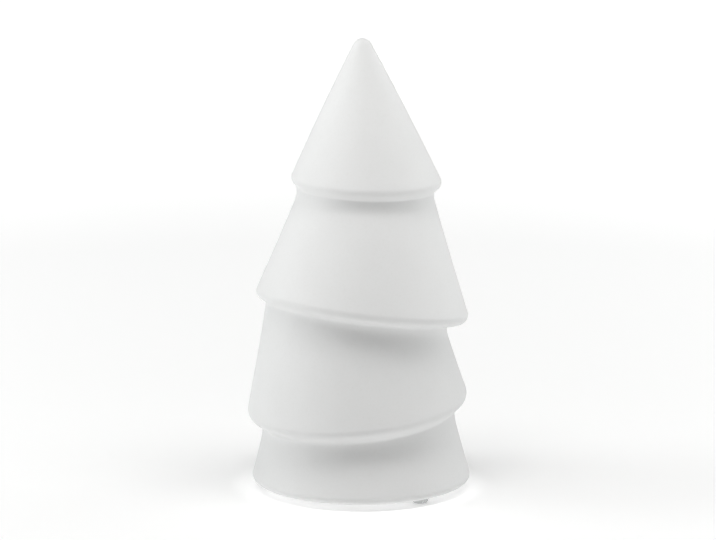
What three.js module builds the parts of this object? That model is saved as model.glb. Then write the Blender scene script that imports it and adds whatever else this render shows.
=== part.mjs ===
// Decorative Christmas tree: a hollow ceramic body of four leaning tiers on three clear bumper feet.
// Millimetres, +Z up. The front faces -Y and the right-hand side +X. The origin lies on the surface
// that the feet stand on, under the middle of the body.

import * as THREE from "three";
import { mergeVertices } from "three/addons/utils/BufferGeometryUtils.js";

// Bumper feet and the adhesive that holds each of them to the underside

const FOOT_COUNT = 3;
const FIRST_FOOT_AZIMUTH = -50.5; // degrees from +X towards +Y, so this foot is at the front right
const FOOT_EDGE_MARGIN = 1.5; // from the flat underside's edge to the stuck-on face
const BUMPER_HEIGHT = 2.6;
const BUMPER_FACE_RADIUS = 4; // the wide end, which is stuck on
const BUMPER_TREAD_RADIUS = 2.6; // the flat of the narrow end, inside its rounded edge
const BUMPER_EDGE_ROUNDING = 0.7;
const ADHESIVE_MARGIN = 0.3; // from the bumper's face edge to the adhesive's
const ADHESIVE_THICKNESS = 0.2;

// Ceramic body: heights are above its flat underside, and shifts are towards +X

const BODY_HEIGHT = 197.2;
const TIP_SHIFT = 1.5;
const TIP_ROUNDING = 4.7;
const WALL = 4;
const CAVITY_ROUNDING = 2; // least rounding of the cavity behind a rim, and the one of its peak
const CAVITY_PEAK_DEPTH = 9; // the narrow tip is cast solid down to here
const DRAIN_HOLE_RADIUS = 12;
const NECK_BAND_HEIGHT = 0.4; // each neck is upright over this height

// The base tier's edge carries the widths of all the tiers. skirtHollow is how far the middle of a
// skirt lies inside a straight line, or outside it where the value is negative.

const BASE_TIER = {
  skirtHollow: 0.1,
  edgeRadius: 48.6,
  edgeShift: 1,
  edgeRounding: 2.6,
};

// Each leaning tier has a skirt that ends in a rounded rim, and an underside that leads in from the
// rim to the neck, where the next skirt starts. rimInset is how much smaller the rim's radius is than
// the base edge's, and neckInset how much smaller the neck's is than the rim's. The neck is hollowed
// by neckRounding above its band and flares out by flareRounding below it. Rim and neck lie in
// parallel planes. A plane dips towards +X and lifts towards the front by its angles in degrees.

const TOP_TIER = {
  skirtHollow: -0.4,
  rimInset: 15.5,
  rimHeight: 135.2,
  rimShift: 3.2,
  rimRounding: 3.5,
  dipRight: 2.1,
  liftFront: -1,
  neckInset: 2.8,
  neckDrop: 4.9,
  neckShift: 2.9,
  neckRounding: 1.3,
  flareRounding: 15,
};
const SECOND_TIER = {
  skirtHollow: 0.1,
  rimInset: 1.7,
  rimHeight: 80.1,
  rimShift: 1.5,
  rimRounding: 3.8,
  dipRight: 7.4,
  liftFront: 4.8,
  neckInset: 6.6,
  neckDrop: 5.9,
  neckShift: -1.2,
  neckRounding: 1.6,
  flareRounding: 14,
};
const THIRD_TIER = {
  skirtHollow: 0.1,
  rimInset: -0.1,
  rimHeight: 36,
  rimShift: -0.8,
  rimRounding: 4.4,
  dipRight: -4.7,
  liftFront: -4,
  neckInset: 5.9,
  neckDrop: 7.4,
  neckShift: -0.2,
  neckRounding: 1.9,
  flareRounding: 30,
};

const LARGEST_ROUNDING_SHARE = 0.9; // of the roundings that would meet between a rim and its neck

// Fineness of the surfaces

const BODY_SIDES = 60;
const SKIRT_STEPS = 4;
const ROUNDING_STEPS = 6;
const NECK_ROUNDING_STEPS = 3;
const CAVITY_ROUNDING_STEPS = 2;
const FOOT_SIDES = 24;
const FOOT_ROUNDING_STEPS = 3;

// Sizes that follow from the ones above

const UNDERSIDE_HEIGHT = BUMPER_HEIGHT + ADHESIVE_THICKNESS;
const UNDERSIDE_RADIUS = BASE_TIER.edgeRadius - BASE_TIER.edgeRounding;
const FOOT_CIRCLE_RADIUS = UNDERSIDE_RADIUS - FOOT_EDGE_MARGIN - BUMPER_FACE_RADIUS;
const ADHESIVE_RADIUS = BUMPER_FACE_RADIUS - ADHESIVE_MARGIN;

const UP = Math.PI / 2;
const DOWN = -Math.PI / 2;

function slope(degrees) {
  return Math.tan(THREE.MathUtils.degToRad(degrees));
}

// The point where a level or leaning circle meets the upright half-plane at an azimuth. The
// half-planes all start at the upright line through the tip.
function circleAt(azimuth, radius, shift, heightOver) {
  const offAxis = shift - TIP_SHIFT;
  const reach = Math.sqrt(radius ** 2 - (offAxis * Math.sin(azimuth)) ** 2);
  const fromAxis = offAxis * Math.cos(azimuth) + reach;
  const right = fromAxis * Math.cos(azimuth) + TIP_SHIFT;
  const back = fromAxis * Math.sin(azimuth);
  return { radius: fromAxis, height: heightOver(right, back) };
}

// The roundings of a rim and its neck together stay smaller than the circle that touches the rim and
// passes through the neck.
function rimRounding(tier) {
  const overhang = tier.neckInset + Math.abs(tier.rimShift - tier.neckShift);
  if (overhang <= 0) return tier.rimRounding;
  const throughNeck = (overhang ** 2 + tier.neckDrop ** 2) / (2 * overhang);
  return Math.min(tier.rimRounding, LARGEST_ROUNDING_SHARE * throughNeck - tier.neckRounding);
}

// A tier's rim, and its neck above and below the band, each as a corner of the outline: the centre
// of its rounding, the rounding's radius, and the hollow of the side that leads to it. The radius is
// negative where the rounding hollows the body.
function tierCorners(tier, azimuth) {
  const rounding = rimRounding(tier);
  const rimRadius = BASE_TIER.edgeRadius - tier.rimInset;
  const neckRadius = rimRadius - tier.neckInset;
  const rimPlane = (right, back) =>
    tier.rimHeight - (right - tier.rimShift) * slope(tier.dipRight) - back * slope(tier.liftFront);
  const neckPlane = (right, back) => rimPlane(right, back) - tier.neckDrop;
  const rimCentre = circleAt(azimuth, rimRadius - rounding, tier.rimShift, rimPlane);
  const neck = circleAt(azimuth, neckRadius, tier.neckShift, neckPlane);
  const hollowed = (depth, drop) => ({
    radius: neck.radius + depth,
    height: neck.height - drop,
    rounding: -depth,
    hollow: 0,
  });
  return [
    { ...rimCentre, rounding, hollow: tier.skirtHollow },
    hollowed(tier.neckRounding, 0),
    hollowed(tier.flareRounding, NECK_BAND_HEIGHT),
  ];
}

function cornersAt(azimuth) {
  const tip = { radius: 0, height: BODY_HEIGHT - TIP_ROUNDING, rounding: TIP_ROUNDING, hollow: 0 };
  const rounding = BASE_TIER.edgeRounding;
  const baseCentre = circleAt(azimuth, UNDERSIDE_RADIUS, BASE_TIER.edgeShift, () => rounding);
  const base = { ...baseCentre, rounding, hollow: BASE_TIER.skirtHollow };
  const tiers = [TOP_TIER, SECOND_TIER, THIRD_TIER].flatMap((tier) => tierCorners(tier, azimuth));
  return [tip, ...tiers, base];
}

// The straight side between two rounded corners touches both along one outward normal, given as an
// angle above the horizontal.
function sideNormal(from, to) {
  const out = to.radius - from.radius;
  const up = to.height - from.height;
  return Math.atan2(up, out) + Math.acos((from.rounding - to.rounding) / Math.hypot(out, up));
}

// Each corner with the normals of the side that reaches it and of the side that leaves it.
function withNormals(corners) {
  const leaving = corners.map((corner, i) =>
    i + 1 < corners.length ? sideNormal(corner, corners[i + 1]) : DOWN,
  );
  return corners.map((corner, i) => ({
    ...corner,
    arrival: i > 0 ? leaving[i - 1] : UP,
    departure: leaving[i],
  }));
}

function pointOnRounding(corner, angle) {
  return {
    radius: corner.radius + corner.rounding * Math.cos(angle),
    height: corner.height + corner.rounding * Math.sin(angle),
  };
}

function roundedCorner(corner, steps) {
  if (corner.rounding === 0) return [pointOnRounding(corner, 0)];
  const points = [];
  for (let i = 0; i <= steps; i++) {
    const angle = THREE.MathUtils.lerp(corner.arrival, corner.departure, i / steps);
    points.push(pointOnRounding(corner, angle));
  }
  return points;
}

// Points along a hollow skirt, between the end of one rounding and the start of the next.
function skirtPoints(from, to, normal, hollow) {
  const points = [];
  for (let i = 1; i < SKIRT_STEPS; i++) {
    const along = i / SKIRT_STEPS;
    const depth = 4 * hollow * along * (1 - along);
    points.push({
      radius: THREE.MathUtils.lerp(from.radius, to.radius, along) - depth * Math.cos(normal),
      height: THREE.MathUtils.lerp(from.height, to.height, along) - depth * Math.sin(normal),
    });
  }
  return points;
}

function outerOutline(corners) {
  const points = [];
  for (const corner of corners) {
    if (corner.hollow !== 0) {
      const start = points.at(-1);
      const end = pointOnRounding(corner, corner.arrival);
      points.push(...skirtPoints(start, end, corner.arrival, corner.hollow));
    }
    const steps = corner.rounding < 0 ? NECK_ROUNDING_STEPS : ROUNDING_STEPS;
    points.push(...roundedCorner(corner, steps));
  }
  return points;
}

// The cavity lies one wall inside every side. It turns round a neck at the wall's distance. Behind a
// rounded rim its own rounding keeps to the wall too, but is never sharper than CAVITY_ROUNDING, so
// its centre may move in along the line that halves the corner.
function cavityCorner(corner) {
  if (corner.rounding < 0) return { ...corner, rounding: corner.rounding - WALL };
  const rounding = Math.max(corner.rounding - WALL, CAVITY_ROUNDING);
  const turn = corner.arrival - corner.departure;
  const inset = (WALL + rounding - corner.rounding) / (1 + Math.cos(turn));
  return {
    radius: corner.radius - inset * (Math.cos(corner.arrival) + Math.cos(corner.departure)),
    height: corner.height - inset * (Math.sin(corner.arrival) + Math.sin(corner.departure)),
    rounding,
  };
}

function cavityOutline(corners) {
  const peak = {
    radius: 0,
    height: BODY_HEIGHT - CAVITY_PEAK_DEPTH - CAVITY_ROUNDING,
    rounding: CAVITY_ROUNDING,
  };
  const cavityCorners = withNormals([peak, ...corners.slice(1).map(cavityCorner)]);
  return cavityCorners.flatMap((corner) => roundedCorner(corner, CAVITY_ROUNDING_STEPS));
}

// One closed half-outline of the body: down the outside from the tip, in to the drain hole, through
// the floor, and up the cavity to its peak.
function bodyOutline(azimuth) {
  const corners = withNormals(cornersAt(azimuth));
  const hole = circleAt(azimuth, DRAIN_HOLE_RADIUS, BASE_TIER.edgeShift, () => 0);
  const holeTop = { ...hole, height: WALL };
  return [...outerOutline(corners), hole, holeTop, ...cavityOutline(corners).reverse()];
}

// A closed skin over the outlines at evenly spaced azimuths, which share their first and last points.
function skinOver(outlineAt, sides) {
  const positions = [];
  const triangles = [];
  const count = outlineAt(0).length;
  for (let side = 0; side < sides; side++) {
    const azimuth = (side / sides) * 2 * Math.PI;
    for (const { radius, height } of outlineAt(azimuth)) {
      positions.push(radius * Math.cos(azimuth), radius * Math.sin(azimuth), height);
    }
    const here = side * count;
    const next = ((side + 1) % sides) * count;
    for (let i = 0; i + 1 < count; i++) {
      if (i + 2 < count) triangles.push(here + i, here + i + 1, next + i + 1);
      if (i > 0) triangles.push(here + i, next + i + 1, next + i);
    }
  }
  const geometry = new THREE.BufferGeometry();
  geometry.setAttribute("position", new THREE.Float32BufferAttribute(positions, 3));
  geometry.setIndex(triangles);
  return mergeVertices(geometry);
}

function ceramic() {
  return new THREE.MeshStandardMaterial({ color: 0xf1f0ed, roughness: 0.8, metalness: 0 });
}

function clearRubber() {
  return new THREE.MeshStandardMaterial({ color: 0xdfe4e3, roughness: 0.2, metalness: 0 });
}

function adhesive() {
  return new THREE.MeshStandardMaterial({ color: 0xe9e7dc, roughness: 0.5, metalness: 0 });
}

function ceramicBody() {
  const geometry = skinOver(bodyOutline, BODY_SIDES);
  geometry.computeVertexNormals();
  const body = new THREE.Mesh(geometry, ceramic());
  body.name = "ceramic_body";
  body.position.set(TIP_SHIFT, 0, UNDERSIDE_HEIGHT);
  return body;
}

// A bumper's straight side narrows from the stuck-on face's edge to the rounded edge of its tread.
function bumperOutline() {
  const rounding = BUMPER_EDGE_ROUNDING;
  const faceEdge = { radius: BUMPER_FACE_RADIUS, height: BUMPER_HEIGHT, rounding: 0 };
  const treadEdge = { radius: BUMPER_TREAD_RADIUS, height: rounding, rounding };
  const corners = withNormals([faceEdge, treadEdge]);
  const edge = corners.flatMap((corner) => roundedCorner(corner, FOOT_ROUNDING_STEPS));
  return [{ radius: 0, height: BUMPER_HEIGHT }, ...edge, { radius: 0, height: 0 }];
}

function bumper(name) {
  const points = bumperOutline().map(({ radius, height }) => new THREE.Vector2(radius, height));
  const geometry = new THREE.LatheGeometry(points.reverse(), FOOT_SIDES);
  geometry.rotateX(UP);
  const mesh = new THREE.Mesh(geometry, clearRubber());
  mesh.name = name;
  return mesh;
}

function adhesiveDisc(name) {
  const geometry = new THREE.CylinderGeometry(
    ADHESIVE_RADIUS,
    ADHESIVE_RADIUS,
    ADHESIVE_THICKNESS,
    FOOT_SIDES,
  );
  geometry.rotateX(UP);
  const mesh = new THREE.Mesh(geometry, adhesive());
  mesh.name = name;
  mesh.position.z = BUMPER_HEIGHT + ADHESIVE_THICKNESS / 2;
  return mesh;
}

function foot(index) {
  const azimuth = THREE.MathUtils.degToRad(FIRST_FOOT_AZIMUTH + (index * 360) / FOOT_COUNT);
  const group = new THREE.Group();
  group.add(bumper(`bumper_foot_${index + 1}`));
  group.add(adhesiveDisc(`adhesive_disc_${index + 1}`));
  group.position.set(
    BASE_TIER.edgeShift + FOOT_CIRCLE_RADIUS * Math.cos(azimuth),
    FOOT_CIRCLE_RADIUS * Math.sin(azimuth),
    0,
  );
  return group;
}

const tree = new THREE.Group();
tree.add(ceramicBody());
for (let index = 0; index < FOOT_COUNT; index++) {
  tree.add(foot(index));
}

export default tree;
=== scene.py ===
"""Looks of the decorative Christmas tree: a smooth cast ceramic body on clear bumper feet."""

import math

import bpy
import numpy as np
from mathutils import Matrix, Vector, noise


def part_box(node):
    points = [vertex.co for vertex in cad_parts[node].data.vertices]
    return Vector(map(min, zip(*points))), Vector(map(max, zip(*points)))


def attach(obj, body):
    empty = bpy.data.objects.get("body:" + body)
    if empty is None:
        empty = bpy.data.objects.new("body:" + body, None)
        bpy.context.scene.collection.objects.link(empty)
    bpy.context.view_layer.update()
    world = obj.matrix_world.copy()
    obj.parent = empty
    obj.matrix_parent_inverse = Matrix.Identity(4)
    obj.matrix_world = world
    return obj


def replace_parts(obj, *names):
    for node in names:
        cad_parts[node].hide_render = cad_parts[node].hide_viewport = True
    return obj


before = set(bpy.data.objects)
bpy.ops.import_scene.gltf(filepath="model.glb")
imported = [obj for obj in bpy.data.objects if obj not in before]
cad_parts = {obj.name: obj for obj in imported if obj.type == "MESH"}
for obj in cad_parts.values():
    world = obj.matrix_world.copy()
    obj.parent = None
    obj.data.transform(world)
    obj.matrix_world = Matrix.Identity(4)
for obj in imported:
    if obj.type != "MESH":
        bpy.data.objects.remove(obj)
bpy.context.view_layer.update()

MM = 0.001

# The camera of the photograph, in millimetres and degrees

CAMERA_PLACE = (-0.4, -1300, 349.3)
CAMERA_PITCH = 10.97
CAMERA_LENS = 150.9
CAMERA_SENSOR = 36
CAMERA_REACH = 50_000

# Body: heights are above its flat underside, shifts are towards +X, and lengths are millimetres

UNDERSIDE_HEIGHT = 2.8
BODY_HEIGHT = 197.2
TIP_SHIFT = 1.5
TIP_ROUNDING = 4.7
WALL = 4
CAVITY_ROUNDING = 2
CAVITY_PEAK_DEPTH = 9
DRAIN_HOLE_RADIUS = 12
DRAIN_HOLE_EDGE = 0.9

# Each neck's small and large hollow roundings are this far apart in height
NECK_BAND = 0.4

# The base tier, and the tiers above it from the top down. "hollow" is how far the middle of a
# tier's side is bent in. "rim_inset" is inwards from the base's edge, "neck_inset" inwards from the
# rim, and "neck_drop" down from it. "dip_right" and "lift_front" are the rim's leans in degrees.
BASE_TIER = {"hollow": 0.1, "edge_radius": 48.6, "edge_shift": 1, "edge_rounding": 2.6}
TIERS = [
    {
        "hollow": -0.4, "rim_inset": 15.5, "rim_height": 135.2, "rim_shift": 3.2,
        "rim_rounding": 3.5, "dip_right": 2.1, "lift_front": -1, "neck_inset": 2.8,
        "neck_drop": 4.9, "neck_shift": 2.9, "neck_rounding": 1.3, "flare_rounding": 15,
    },
    {
        "hollow": 0.1, "rim_inset": 1.7, "rim_height": 80.1, "rim_shift": 1.5,
        "rim_rounding": 3.8, "dip_right": 7.4, "lift_front": 4.8, "neck_inset": 6.6,
        "neck_drop": 5.9, "neck_shift": -1.2, "neck_rounding": 1.6, "flare_rounding": 14,
    },
    {
        "hollow": 0.1, "rim_inset": -0.1, "rim_height": 36, "rim_shift": -0.8,
        "rim_rounding": 4.4, "dip_right": -4.7, "lift_front": -4, "neck_inset": 5.9,
        "neck_drop": 7.4, "neck_shift": -0.2, "neck_rounding": 1.9, "flare_rounding": 30,
    },
]

# Divisions of the body's mesh: around it, and along each kind of line of its outline
BODY_SIDES = 288
SKIRT_STEPS = 22
ROUNDING_STEPS = 14
NECK_STEPS = 4
FLAT_STEPS = 6

# The casting is a little uneven: its surface lies up to this far inside the drawn outline
UNEVENNESS = 0.22
UNEVEN_PATCH = 26
UNEVEN_FADE_RADIUS = 20  # nearer to the axis than this it fades, so the tip stays whole

UP = math.pi / 2
DOWN = -math.pi / 2
azimuths = np.arange(BODY_SIDES) * 2 * math.pi / BODY_SIDES
COS = np.cos(azimuths)
SIN = np.sin(azimuths)


def circle_at(radius, shift, height_over):
    """Where a level or leaning circle meets the upright half-plane at each azimuth."""
    off_axis = shift - TIP_SHIFT
    from_axis = off_axis * COS + np.sqrt(radius**2 - (off_axis * SIN) ** 2)
    return from_axis, height_over(from_axis * COS + TIP_SHIFT, from_axis * SIN)


def corner(radius, height, rounding, hollow=0):
    flat = np.zeros(BODY_SIDES)
    place = {"radius": radius + flat, "height": height + flat}
    return {**place, "rounding": rounding, "hollow": hollow}


def tier_corners(tier):
    rim_radius = BASE_TIER["edge_radius"] - tier["rim_inset"]
    neck_radius = rim_radius - tier["neck_inset"]
    dip = math.tan(math.radians(tier["dip_right"]))
    lift = math.tan(math.radians(tier["lift_front"]))

    def rim_plane(right, back):
        return tier["rim_height"] - (right - tier["rim_shift"]) * dip - back * lift

    def neck_plane(right, back):
        return rim_plane(right, back) - tier["neck_drop"]

    rim = circle_at(rim_radius - tier["rim_rounding"], tier["rim_shift"], rim_plane)
    radius, height = circle_at(neck_radius, tier["neck_shift"], neck_plane)
    rounding, flare = tier["neck_rounding"], tier["flare_rounding"]
    return [
        corner(*rim, tier["rim_rounding"], tier["hollow"]),
        corner(radius + rounding, height, -rounding),
        corner(radius + flare, height - NECK_BAND, -flare),
    ]


def body_corners():
    rounding = BASE_TIER["edge_rounding"]
    radius = BASE_TIER["edge_radius"] - rounding
    base = circle_at(radius, BASE_TIER["edge_shift"], lambda right, back: rounding + 0 * right)
    corners = [corner(0, BODY_HEIGHT - TIP_ROUNDING, TIP_ROUNDING)]
    for tier in TIERS:
        corners += tier_corners(tier)
    return corners + [corner(*base, rounding, BASE_TIER["hollow"])]


def with_normals(corners):
    """Each corner with the outward normals of the sides that reach and leave it, as angles."""
    normals = []
    for here, after in zip(corners, corners[1:]):
        out = after["radius"] - here["radius"]
        up = after["height"] - here["height"]
        turn = np.arccos((here["rounding"] - after["rounding"]) / np.hypot(out, up))
        normals.append(np.arctan2(up, out) + turn)
    arrivals = [np.full(BODY_SIDES, UP)] + normals
    departures = normals + [np.full(BODY_SIDES, DOWN)]
    return [{**c, "arrival": a, "departure": d} for c, a, d in zip(corners, arrivals, departures)]


def moved_in(c, distance, rounding):
    """The corner again, with each of its sides moved inwards and another rounding."""
    turn = c["arrival"] - c["departure"]
    inset = (distance + rounding - c["rounding"]) / (1 + np.cos(turn))
    radius = c["radius"] - inset * (np.cos(c["arrival"]) + np.cos(c["departure"]))
    height = c["height"] - inset * (np.sin(c["arrival"]) + np.sin(c["departure"]))
    return {**c, "radius": radius, "height": height, "rounding": rounding}


def on_rounding(c, angle):
    reach = c["rounding"]
    return c["radius"] + reach * np.cos(angle), c["height"] + reach * np.sin(angle)


def rounded(c, steps):
    shares = [i / steps for i in range(steps + 1)]
    return [on_rounding(c, c["arrival"] * (1 - s) + c["departure"] * s) for s in shares]


def between(start, end, steps, hollow=0, normal=0):
    """Points along a side, without its ends, bent inwards by the hollow at its middle."""
    points = []
    for i in range(1, steps):
        along = i / steps
        depth = 4 * hollow * along * (1 - along)
        radius = start[0] * (1 - along) + end[0] * along - depth * np.cos(normal)
        height = start[1] * (1 - along) + end[1] * along - depth * np.sin(normal)
        points.append((radius, height))
    return points


def outer_outline(corners):
    points = []
    for c in corners:
        neck = c["rounding"] <= 0
        arc = rounded(c, NECK_STEPS * 2 if neck else ROUNDING_STEPS)
        if points:
            steps = FLAT_STEPS if neck else SKIRT_STEPS
            points += between(points[-1], arc[0], steps, c["hollow"], c["arrival"])
        points += arc
    return points


def cavity_outline(corners):
    peak = corner(0, BODY_HEIGHT - CAVITY_PEAK_DEPTH - CAVITY_ROUNDING, CAVITY_ROUNDING)
    inner = [peak]
    for c in corners[1:]:
        if c["rounding"] <= 0:
            inner.append({**c, "rounding": c["rounding"] - WALL})
        else:
            inner.append(moved_in(c, WALL, max(c["rounding"] - WALL, CAVITY_ROUNDING)))
    points = []
    for c in with_normals(inner):
        arc = rounded(c, NECK_STEPS * 2)
        if points:
            points += between(points[-1], arc[0], FLAT_STEPS)
        points += arc
    return points


def hole_outline():
    """The drain hole's wall, with a rounded edge at the underside and at the cavity's floor."""
    edge = DRAIN_HOLE_EDGE
    radius = circle_at(DRAIN_HOLE_RADIUS, BASE_TIER["edge_shift"], lambda right, back: 0 * right)[0]
    lower = corner(radius + edge, edge, edge)
    upper = corner(radius + edge, WALL - edge, edge)
    inwards = np.full(BODY_SIDES, -math.pi)
    lower.update(arrival=np.full(BODY_SIDES, DOWN), departure=inwards)
    upper.update(arrival=inwards, departure=np.full(BODY_SIDES, DOWN - math.pi))
    return rounded(lower, NECK_STEPS) + rounded(upper, NECK_STEPS)


def body_outline():
    """One closed half-outline: down the outside, in to the drain hole, and up the cavity."""
    corners = with_normals(body_corners())
    outside = outer_outline(corners)
    hole = hole_outline()
    inside = cavity_outline(corners)[::-1]
    underside = between(outside[-1], hole[0], FLAT_STEPS)
    floor = between(hole[-1], inside[0], FLAT_STEPS)
    return outside + underside + hole + floor + inside, len(outside)


def uneven(points):
    """The outside's points, set in a little by slow patches of noise."""
    moved = []
    for radius, height in points:
        deeper = np.empty(BODY_SIDES)
        for i in range(BODY_SIDES):
            place = Vector((radius[i] * COS[i], radius[i] * SIN[i], height[i])) / UNEVEN_PATCH
            deeper[i] = 0.5 + 0.5 * noise.noise(place)
        shrink = UNEVENNESS * np.clip(deeper, 0, 1) * np.minimum(radius / UNEVEN_FADE_RADIUS, 1)
        moved.append((radius - shrink, height))
    return moved


def skin(name, points, place):
    """A closed mesh over the half-outlines, whose first and last points lie on the axis."""
    rings = [
        np.stack([radius * COS, radius * SIN, height], axis=1) for radius, height in points[1:-1]
    ]
    top = (0, 0, points[0][1][0])
    bottom = (0, 0, points[-1][1][0])
    vertices = np.concatenate([np.array([top]), *rings, np.array([bottom])])
    vertices = (vertices + np.array(place)) * MM
    faces = []
    last = len(vertices) - 1
    for side in range(BODY_SIDES):
        after = (side + 1) % BODY_SIDES
        faces.append((0, 1 + side, 1 + after))
        for ring in range(len(rings) - 1):
            here = 1 + ring * BODY_SIDES
            below = here + BODY_SIDES
            faces.append((here + side, below + side, below + after, here + after))
        here = 1 + (len(rings) - 1) * BODY_SIDES
        faces.append((here + side, last, here + after))
    mesh = bpy.data.meshes.new(name)
    mesh.from_pydata(vertices.tolist(), [], faces)
    mesh.validate()
    mesh.polygons.foreach_set("use_smooth", [True] * len(mesh.polygons))
    piece = bpy.data.objects.new(name, mesh)
    bpy.context.scene.collection.objects.link(piece)
    return piece


def make_body():
    points, outside = body_outline()
    points = uneven(points[:outside]) + points[outside:]
    return skin("cast_body", points, (TIP_SHIFT, 0, UNDERSIDE_HEIGHT))


# Clear bumper feet, in millimetres: the part's bumpers with a softened edge at the glued face

BUMPER_TREAD_RADIUS = 2.6
BUMPER_EDGE_ROUNDING = 0.7
BUMPER_FACE_EDGE = 0.15
BUMPER_FACE_EDGE_INSET = 0.18

# Divisions of the meshes of the feet, and the rings on their flats as shares of the flats' radius
FOOT_SIDES = 72
FOOT_ARC_STEPS = 6
TREAD_RINGS = (0.5, 0.9)
FACE_RING = 0.5
DISC_RING = 0.6


def revolved(name, outline, centre):
    """A closed turned solid over (radius, height) points in metres, from bottom to top."""
    vertices = [(centre.x, centre.y, outline[0][1])]
    for radius, height in outline[1:-1]:
        for side in range(FOOT_SIDES):
            angle = side * 2 * math.pi / FOOT_SIDES
            right, back = radius * math.cos(angle), radius * math.sin(angle)
            vertices.append((centre.x + right, centre.y + back, height))
    vertices.append((centre.x, centre.y, outline[-1][1]))
    last = len(vertices) - 1
    rings = len(outline) - 2
    faces = []
    for side in range(FOOT_SIDES):
        after = (side + 1) % FOOT_SIDES
        faces.append((0, 1 + after, 1 + side))
        for ring in range(rings - 1):
            here = 1 + ring * FOOT_SIDES
            above = here + FOOT_SIDES
            faces.append((here + side, here + after, above + after, above + side))
        here = 1 + (rings - 1) * FOOT_SIDES
        faces.append((here + side, here + after, last))
    mesh = bpy.data.meshes.new(name)
    mesh.from_pydata(vertices, [], faces)
    mesh.polygons.foreach_set("use_smooth", [True] * len(mesh.polygons))
    piece = bpy.data.objects.new(name, mesh)
    bpy.context.scene.collection.objects.link(piece)
    return piece


def arc(centre_radius, centre_height, rounding, start, end):
    points = []
    for i in range(FOOT_ARC_STEPS + 1):
        angle = math.radians(start + (end - start) * i / FOOT_ARC_STEPS)
        radius = centre_radius + rounding * math.cos(angle)
        points.append((radius, centre_height + rounding * math.sin(angle)))
    return points


def make_bumper(index):
    node = f"bumper_foot_{index}"
    low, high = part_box(node)
    centre = (low + high) / 2
    face_radius = (high.x - low.x) / 2
    tread = BUMPER_TREAD_RADIUS * MM
    rounding = BUMPER_EDGE_ROUNDING * MM
    lean = math.degrees(math.atan2(face_radius - tread - rounding, high.z - low.z - rounding))
    face_edge = BUMPER_FACE_EDGE * MM
    edge_centre = face_radius - BUMPER_FACE_EDGE_INSET * MM
    outline = [(0, low.z)] + [(tread * share, low.z) for share in TREAD_RINGS]
    outline += arc(tread, low.z + rounding, rounding, -90, -lean)
    outline += arc(edge_centre, high.z - face_edge, face_edge, -lean, 90)
    outline += [(face_radius * FACE_RING, high.z), (0, high.z)]
    piece = revolved(f"clear_bumper_{index}", outline, centre)
    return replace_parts(piece, node)


def make_adhesive(index):
    node = f"adhesive_disc_{index}"
    low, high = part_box(node)
    centre = (low + high) / 2
    radius = (high.x - low.x) / 2
    middle = (low.z + high.z) / 2
    edge = (high.z - low.z) / 2
    outline = [(0, low.z), (radius * DISC_RING, low.z)]
    outline += arc(radius - edge, middle, edge, -90, 90)
    outline += [(radius * DISC_RING, high.z), (0, high.z)]
    piece = revolved(f"adhesive_pad_{index}", outline, centre)
    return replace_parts(piece, node)


# Materials: each noise is its scale per metre, detail and roughness, and bump depths are metres

CERAMIC_NOISE = {
    "clouds": (28, 3, 0.55),
    "specks": (900, 2, 0.6),
    "patches": (70, 4, 0.6),
    "orange_peel": (220, 2, 0.5),
    "grain": (2400, 3, 0.6),
}
CERAMIC_TONES = [(0.3, (0.767, 0.77, 0.767)), (0.7, (0.792, 0.794, 0.792))]
SPECK_TONES = [(0.25, (0.983, 0.982, 0.978)), (0.5, (1, 1, 1))]
CERAMIC_ROUGHNESS = (0.56, 0.68)
CERAMIC_BUMP = {"orange_peel": 0.00012, "grain": 0.00003, "strength": 0.5}
CERAMIC_IOR = 1.5
CERAMIC_SPECULAR = 0.35

RUBBER_NOISE = {"haze": (700, 3, 0.6), "skin": (1500, 2, 0.5)}
RUBBER_TONES = [(0.3, (0.88, 0.9, 0.895)), (0.7, (0.94, 0.955, 0.95))]
RUBBER_ROUGHNESS = (0.16, 0.3)
RUBBER_BUMP = {"skin": 0.00004, "strength": 0.4}
RUBBER_CLARITY = 0.6
RUBBER_IOR = 1.48

FILM_BUBBLES = 1400
FILM_TONES = [(0.1, (0.93, 0.925, 0.9)), (0.4, (0.84, 0.835, 0.8))]
FILM_ROUGHNESS = (0.3, 0.5)
FILM_BUMP = {"bubbles": 0.00004, "strength": 0.4}
FILM_CLARITY = 0.4
FILM_IOR = 1.47


def new_material(name):
    material = bpy.data.materials.new(name)
    material.use_nodes = True
    nodes = material.node_tree.nodes
    return material, nodes, material.node_tree.links, nodes["Principled BSDF"]


def noise_node(nodes, links, coordinates, scale, detail, roughness):
    node = nodes.new("ShaderNodeTexNoise")
    node.inputs["Scale"].default_value = scale
    node.inputs["Detail"].default_value = detail
    node.inputs["Roughness"].default_value = roughness
    links.new(coordinates, node.inputs["Vector"])
    return node.outputs["Fac"]


def ramp(nodes, links, factor, stops):
    node = nodes.new("ShaderNodeValToRGB")
    node.color_ramp.elements[0].position = stops[0][0]
    node.color_ramp.elements[0].color = (*stops[0][1], 1)
    node.color_ramp.elements[1].position = stops[1][0]
    node.color_ramp.elements[1].color = (*stops[1][1], 1)
    links.new(factor, node.inputs["Fac"])
    return node.outputs["Color"]


def mapped(nodes, links, factor, low, high, start=0.3, end=0.7):
    node = nodes.new("ShaderNodeMapRange")
    node.inputs["From Min"].default_value = start
    node.inputs["From Max"].default_value = end
    node.inputs["To Min"].default_value = low
    node.inputs["To Max"].default_value = high
    links.new(factor, node.inputs["Value"])
    return node.outputs["Result"]


def bump(nodes, links, height, distance, strength, normal=None):
    node = nodes.new("ShaderNodeBump")
    node.inputs["Distance"].default_value = distance
    node.inputs["Strength"].default_value = strength
    links.new(height, node.inputs["Height"])
    if normal is not None:
        links.new(normal, node.inputs["Normal"])
    return node.outputs["Normal"]


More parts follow.
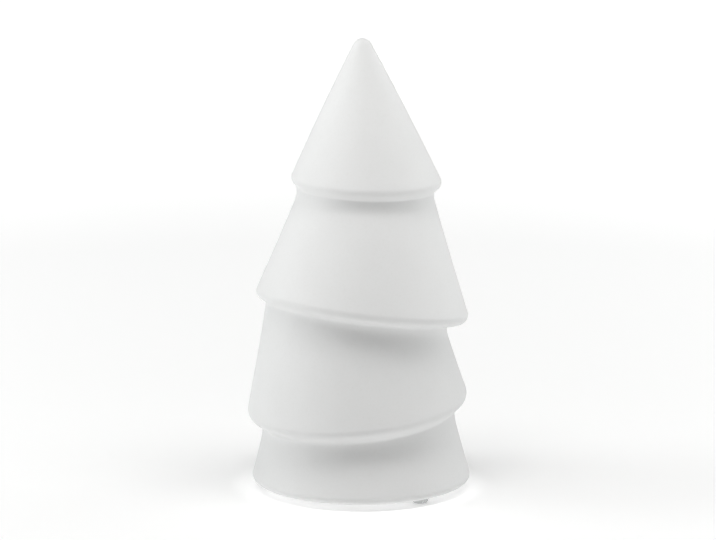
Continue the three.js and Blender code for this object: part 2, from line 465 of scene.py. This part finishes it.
def multiply(nodes, links, first, second):
    node = nodes.new("ShaderNodeMix")
    node.data_type = "RGBA"
    node.blend_type = "MULTIPLY"
    node.inputs["Factor"].default_value = 1
    links.new(first, node.inputs["A"])
    links.new(second, node.inputs["B"])
    return node.outputs["Result"]


def matte_ceramic():
    """Matte white cast ceramic: cloudy whites, a fine grain, and a soft unevenness of the skin."""
    material, nodes, links, shader = new_material("matte_white_ceramic")
    place = nodes.new("ShaderNodeTexCoord").outputs["Object"]
    clouds = noise_node(nodes, links, place, *CERAMIC_NOISE["clouds"])
    specks = noise_node(nodes, links, place, *CERAMIC_NOISE["specks"])
    tone = ramp(nodes, links, clouds, CERAMIC_TONES)
    speck_tone = ramp(nodes, links, specks, SPECK_TONES)
    links.new(multiply(nodes, links, tone, speck_tone), shader.inputs["Base Color"])
    patches = noise_node(nodes, links, place, *CERAMIC_NOISE["patches"])
    links.new(mapped(nodes, links, patches, *CERAMIC_ROUGHNESS), shader.inputs["Roughness"])
    orange_peel = noise_node(nodes, links, place, *CERAMIC_NOISE["orange_peel"])
    grain = noise_node(nodes, links, place, *CERAMIC_NOISE["grain"])
    strength = CERAMIC_BUMP["strength"]
    soft = bump(nodes, links, orange_peel, CERAMIC_BUMP["orange_peel"], strength)
    fine = bump(nodes, links, grain, CERAMIC_BUMP["grain"], strength, soft)
    links.new(fine, shader.inputs["Normal"])
    shader.inputs["IOR"].default_value = CERAMIC_IOR
    shader.inputs["Specular IOR Level"].default_value = CERAMIC_SPECULAR
    return material


def clear_rubber():
    """Clear soft bumper: slightly milky, with a skin that is a little uneven and dusty."""
    material, nodes, links, shader = new_material("clear_bumper_rubber")
    place = nodes.new("ShaderNodeTexCoord").outputs["Object"]
    haze = noise_node(nodes, links, place, *RUBBER_NOISE["haze"])
    links.new(ramp(nodes, links, haze, RUBBER_TONES), shader.inputs["Base Color"])
    links.new(mapped(nodes, links, haze, *RUBBER_ROUGHNESS), shader.inputs["Roughness"])
    dimples = noise_node(nodes, links, place, *RUBBER_NOISE["skin"])
    uneven_skin = bump(nodes, links, dimples, RUBBER_BUMP["skin"], RUBBER_BUMP["strength"])
    links.new(uneven_skin, shader.inputs["Normal"])
    shader.inputs["Transmission Weight"].default_value = RUBBER_CLARITY
    shader.inputs["IOR"].default_value = RUBBER_IOR
    return material


def adhesive_film():
    """Pale adhesive film, with small trapped bubbles."""
    material, nodes, links, shader = new_material("adhesive_film")
    place = nodes.new("ShaderNodeTexCoord").outputs["Object"]
    cells = nodes.new("ShaderNodeTexVoronoi")
    cells.inputs["Scale"].default_value = FILM_BUBBLES
    links.new(place, cells.inputs["Vector"])
    bubbles = cells.outputs["Distance"]
    links.new(ramp(nodes, links, bubbles, FILM_TONES), shader.inputs["Base Color"])
    links.new(mapped(nodes, links, bubbles, *FILM_ROUGHNESS), shader.inputs["Roughness"])
    raised = bump(nodes, links, bubbles, FILM_BUMP["bubbles"], FILM_BUMP["strength"])
    links.new(raised, shader.inputs["Normal"])
    shader.inputs["Transmission Weight"].default_value = FILM_CLARITY
    shader.inputs["IOR"].default_value = FILM_IOR
    return material


# Studio, in metres

STUDIO_MIDDLE = Vector((0, 0, 0.1))
LIGHT_DISTANCE = 1.5

# Round softboxes that face the tree: degrees from the front towards the right, degrees above the
# horizon, width, power in watts, and colour
WARM = (1, 0.997, 0.988)
COOL = (0.98, 1, 1)
SOFTBOXES = {
    "top_softbox": (0, 90, 0.8, 1.1, WARM),
    "high_front_softbox": (0, 75, 0.5, 6.3, WARM),
    "front_left_softbox": (330, 60, 0.5, 2.4, WARM),
    "upper_right_softbox": (60, 62, 0.8, 6.5, WARM),
    "upper_left_softbox": (300, 62, 0.8, 3.9, WARM),
    "right_softbox": (90, 14, 0.8, 2.3, COOL),
    "left_softbox": (270, 14, 0.8, 7.7, COOL),
    "rear_right_softbox": (120, 14, 0.8, 4.7, COOL),
    "rear_left_softbox": (240, 14, 0.8, 1.8, COOL),
}

TABLE_HALF_WIDTH = 8
TABLE_COLOUR = (0.9, 0.9, 0.9, 1)
TABLE_ROUGHNESS = 0.9
TABLE_SPECULAR = 0.1

# The white table glows a little under the tree, so that the contact shadow stays pale, and again
# further out, where the softboxes light it less. Each fade gives two distances from the middle.
UNDER_GLOW = 0.38
UNDER_FADE = (0.043, 0.058)
NEAR_GLOW = 0.13
MIDDLE_GLOW = 0.36
MIDDLE_FADE = (0.06, 0.6)
FAR_GLOW = 1
FAR_FADE = (0.6, 1.4)

# The backdrop above the table, which fades between these sines of the height above the horizon
HORIZON_GLOW = 0.35
HORIZON_FADE = (0.03, 0.15)


def make_table():
    mesh = bpy.data.meshes.new("studio_floor")
    half = TABLE_HALF_WIDTH
    table_corners = [(-half, -half, 0), (half, -half, 0), (half, half, 0), (-half, half, 0)]
    mesh.from_pydata(table_corners, [], [(0, 1, 2, 3)])
    floor = bpy.data.objects.new("studio_floor", mesh)
    bpy.context.scene.collection.objects.link(floor)
    material, nodes, links, shader = new_material("studio_paper")
    shader.inputs["Base Color"].default_value = TABLE_COLOUR
    shader.inputs["Roughness"].default_value = TABLE_ROUGHNESS
    shader.inputs["Specular IOR Level"].default_value = TABLE_SPECULAR
    shader.inputs["Emission Color"].default_value = (1, 1, 1, 1)
    length = nodes.new("ShaderNodeVectorMath")
    length.operation = "LENGTH"
    links.new(nodes.new("ShaderNodeTexCoord").outputs["Object"], length.inputs[0])
    distance = length.outputs["Value"]
    glow = mapped(nodes, links, distance, UNDER_GLOW - NEAR_GLOW, 0, *UNDER_FADE)
    for low, high, fade in (
        (NEAR_GLOW, MIDDLE_GLOW, MIDDLE_FADE),
        (0, FAR_GLOW - MIDDLE_GLOW, FAR_FADE),
    ):
        total = nodes.new("ShaderNodeMath")
        links.new(glow, total.inputs[0])
        links.new(mapped(nodes, links, distance, low, high, *fade), total.inputs[1])
        glow = total.outputs["Value"]
    links.new(glow, shader.inputs["Emission Strength"])
    mesh.materials.append(material)


def make_backdrop():
    world = bpy.data.worlds.new("studio_air")
    world.use_nodes = True
    nodes, links = world.node_tree.nodes, world.node_tree.links
    background = nodes["Background"]
    background.inputs["Color"].default_value = (1, 1, 1, 1)
    direction = nodes.new("ShaderNodeSeparateXYZ")
    links.new(nodes.new("ShaderNodeTexCoord").outputs["Generated"], direction.inputs["Vector"])
    glow = mapped(nodes, links, direction.outputs["Z"], HORIZON_GLOW, 0, *HORIZON_FADE)
    links.new(glow, background.inputs["Strength"])
    bpy.context.scene.world = world


def make_softbox(name, azimuth, elevation, width, power, colour):
    light = bpy.data.lights.new(name, "AREA")
    light.shape = "DISK"
    light.size = width
    light.energy = power
    light.color = colour
    lamp = bpy.data.objects.new(name, light)
    turn, rise = math.radians(azimuth), math.radians(elevation)
    level = math.cos(rise)
    out = Vector((math.sin(turn) * level, -math.cos(turn) * level, math.sin(rise)))
    lamp.location = STUDIO_MIDDLE + out * LIGHT_DISTANCE
    lamp.rotation_euler = (-out).to_track_quat("-Z", "Y").to_euler()
    lamp.visible_camera = False
    bpy.context.scene.collection.objects.link(lamp)


def make_camera():
    camera = bpy.data.cameras.new("photo_camera")
    camera.lens = CAMERA_LENS
    camera.sensor_width = CAMERA_SENSOR
    camera.sensor_fit = "HORIZONTAL"
    camera.clip_end = CAMERA_REACH * MM
    eye = bpy.data.objects.new("photo_camera", camera)
    eye.location = Vector(CAMERA_PLACE) * MM
    eye.rotation_euler = (math.radians(90 - CAMERA_PITCH), 0, 0)
    bpy.context.scene.collection.objects.link(eye)
    bpy.context.scene.camera = eye
    bpy.context.scene.view_settings.view_transform = "Standard"


make_camera()
make_table()
make_backdrop()
for softbox, values in SOFTBOXES.items():
    make_softbox(softbox, *values)

body = make_body()
body.data.materials.append(matte_ceramic())
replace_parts(body, "ceramic_body")
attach(body, "root")

rubber = clear_rubber()
film = adhesive_film()
for number in (1, 2, 3):
    for piece, material, slot in (
        (make_bumper(number), rubber, "clear_bumper"),
        (make_adhesive(number), film, "adhesive_film"),
    ):
        piece.data.materials.append(material)
        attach(piece, "root")

bpy.context.view_layer.update()
